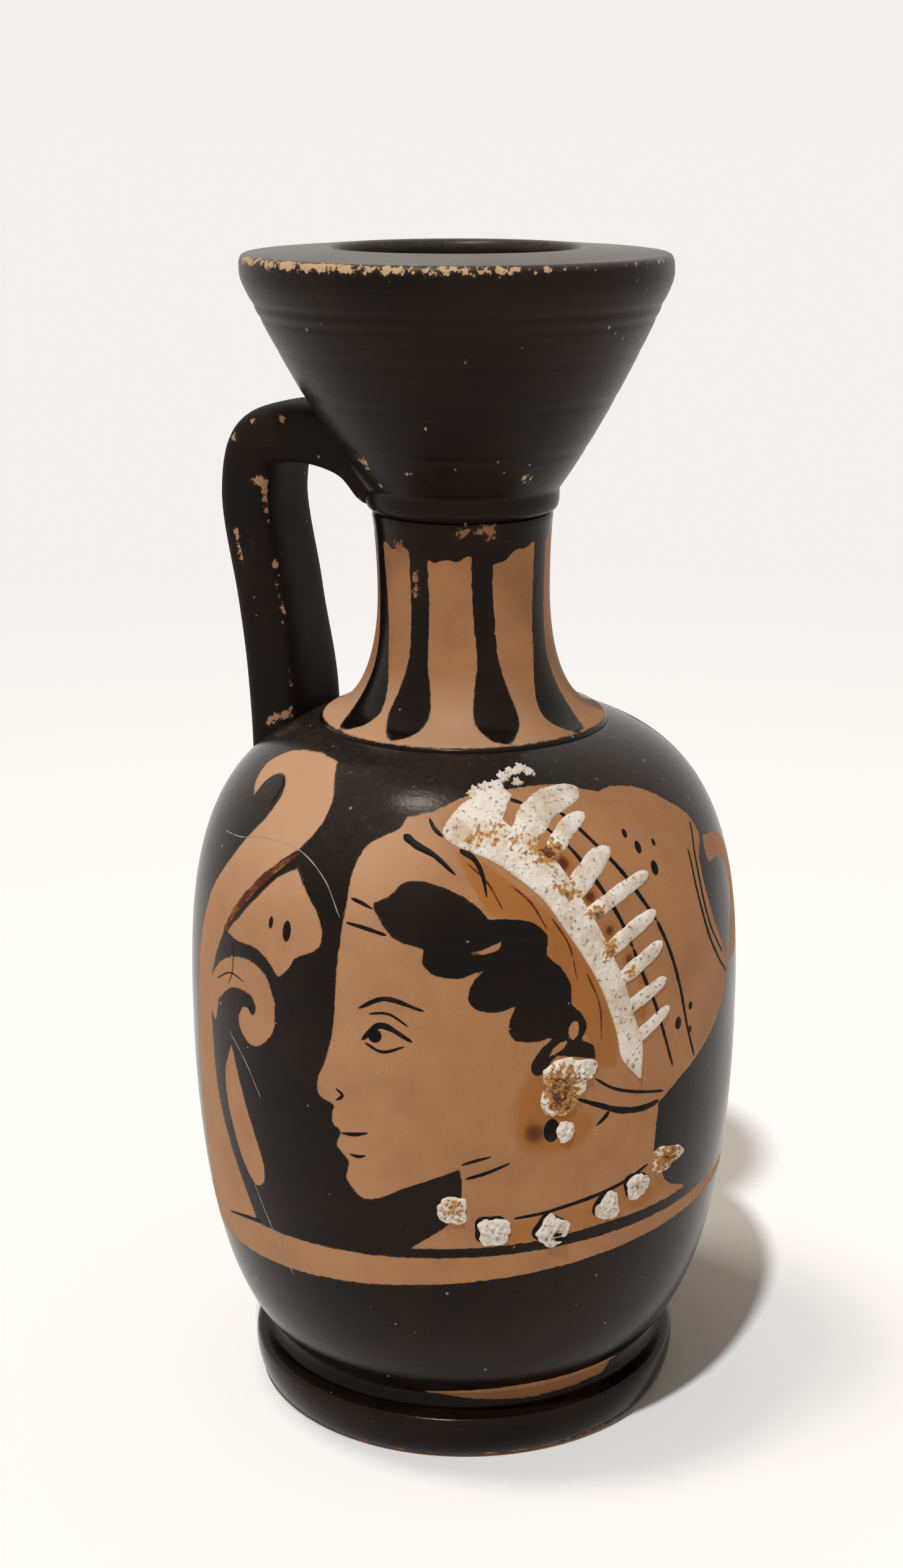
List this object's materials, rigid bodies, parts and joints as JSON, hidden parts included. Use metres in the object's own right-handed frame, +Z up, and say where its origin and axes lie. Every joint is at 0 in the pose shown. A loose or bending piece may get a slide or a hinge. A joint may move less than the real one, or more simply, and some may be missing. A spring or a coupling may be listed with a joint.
{
  "type": "squat lekythos",
  "caption": "Squat lekythos: small black-gloss oil flask with ring foot, round body, narrow neck, flared mouth and strap handle, painted with a lady's head in red-figure style.",
  "frame": {"origin": "centre of the foot's stance on the ground, on the wheel axis", "axes": "+Z up along the wheel axis, +Y towards the handle, the painted head's middle line 65 degrees from -Y towards -X"},
  "size_m": [0.0612, 0.0612, 0.128],
  "materials": {
    "black_gloss": "fired black slip with a soft gloss, thin and brownish in places",
    "red_clay": "bare smoothed clay, matt, orange-tan",
    "luting_slip": "fired joining slip, matt",
    "white_clay": "added white clay in low relief, chalky and stained"
  },
  "bodies": {
    "root": {"foot_ring": "black_gloss", "foot_slip": "red_clay", "body": "black_gloss", "neck_slip": "luting_slip", "neck": "red_clay", "mouth_slip": "luting_slip", "mouth": "black_gloss", "handle": "black_gloss", "handle_upper_slip": "luting_slip", "handle_lower_slip": "luting_slip", "crown": "white_clay", "earring": "white_clay", "earring_drop": "white_clay", "necklace_bead_1": "white_clay", "necklace_bead_2": "white_clay", "necklace_bead_3": "white_clay", "necklace_bead_4": "white_clay", "necklace_bead_5": "white_clay", "necklace_bead_6": "white_clay"}
  },
  "joints": []
}
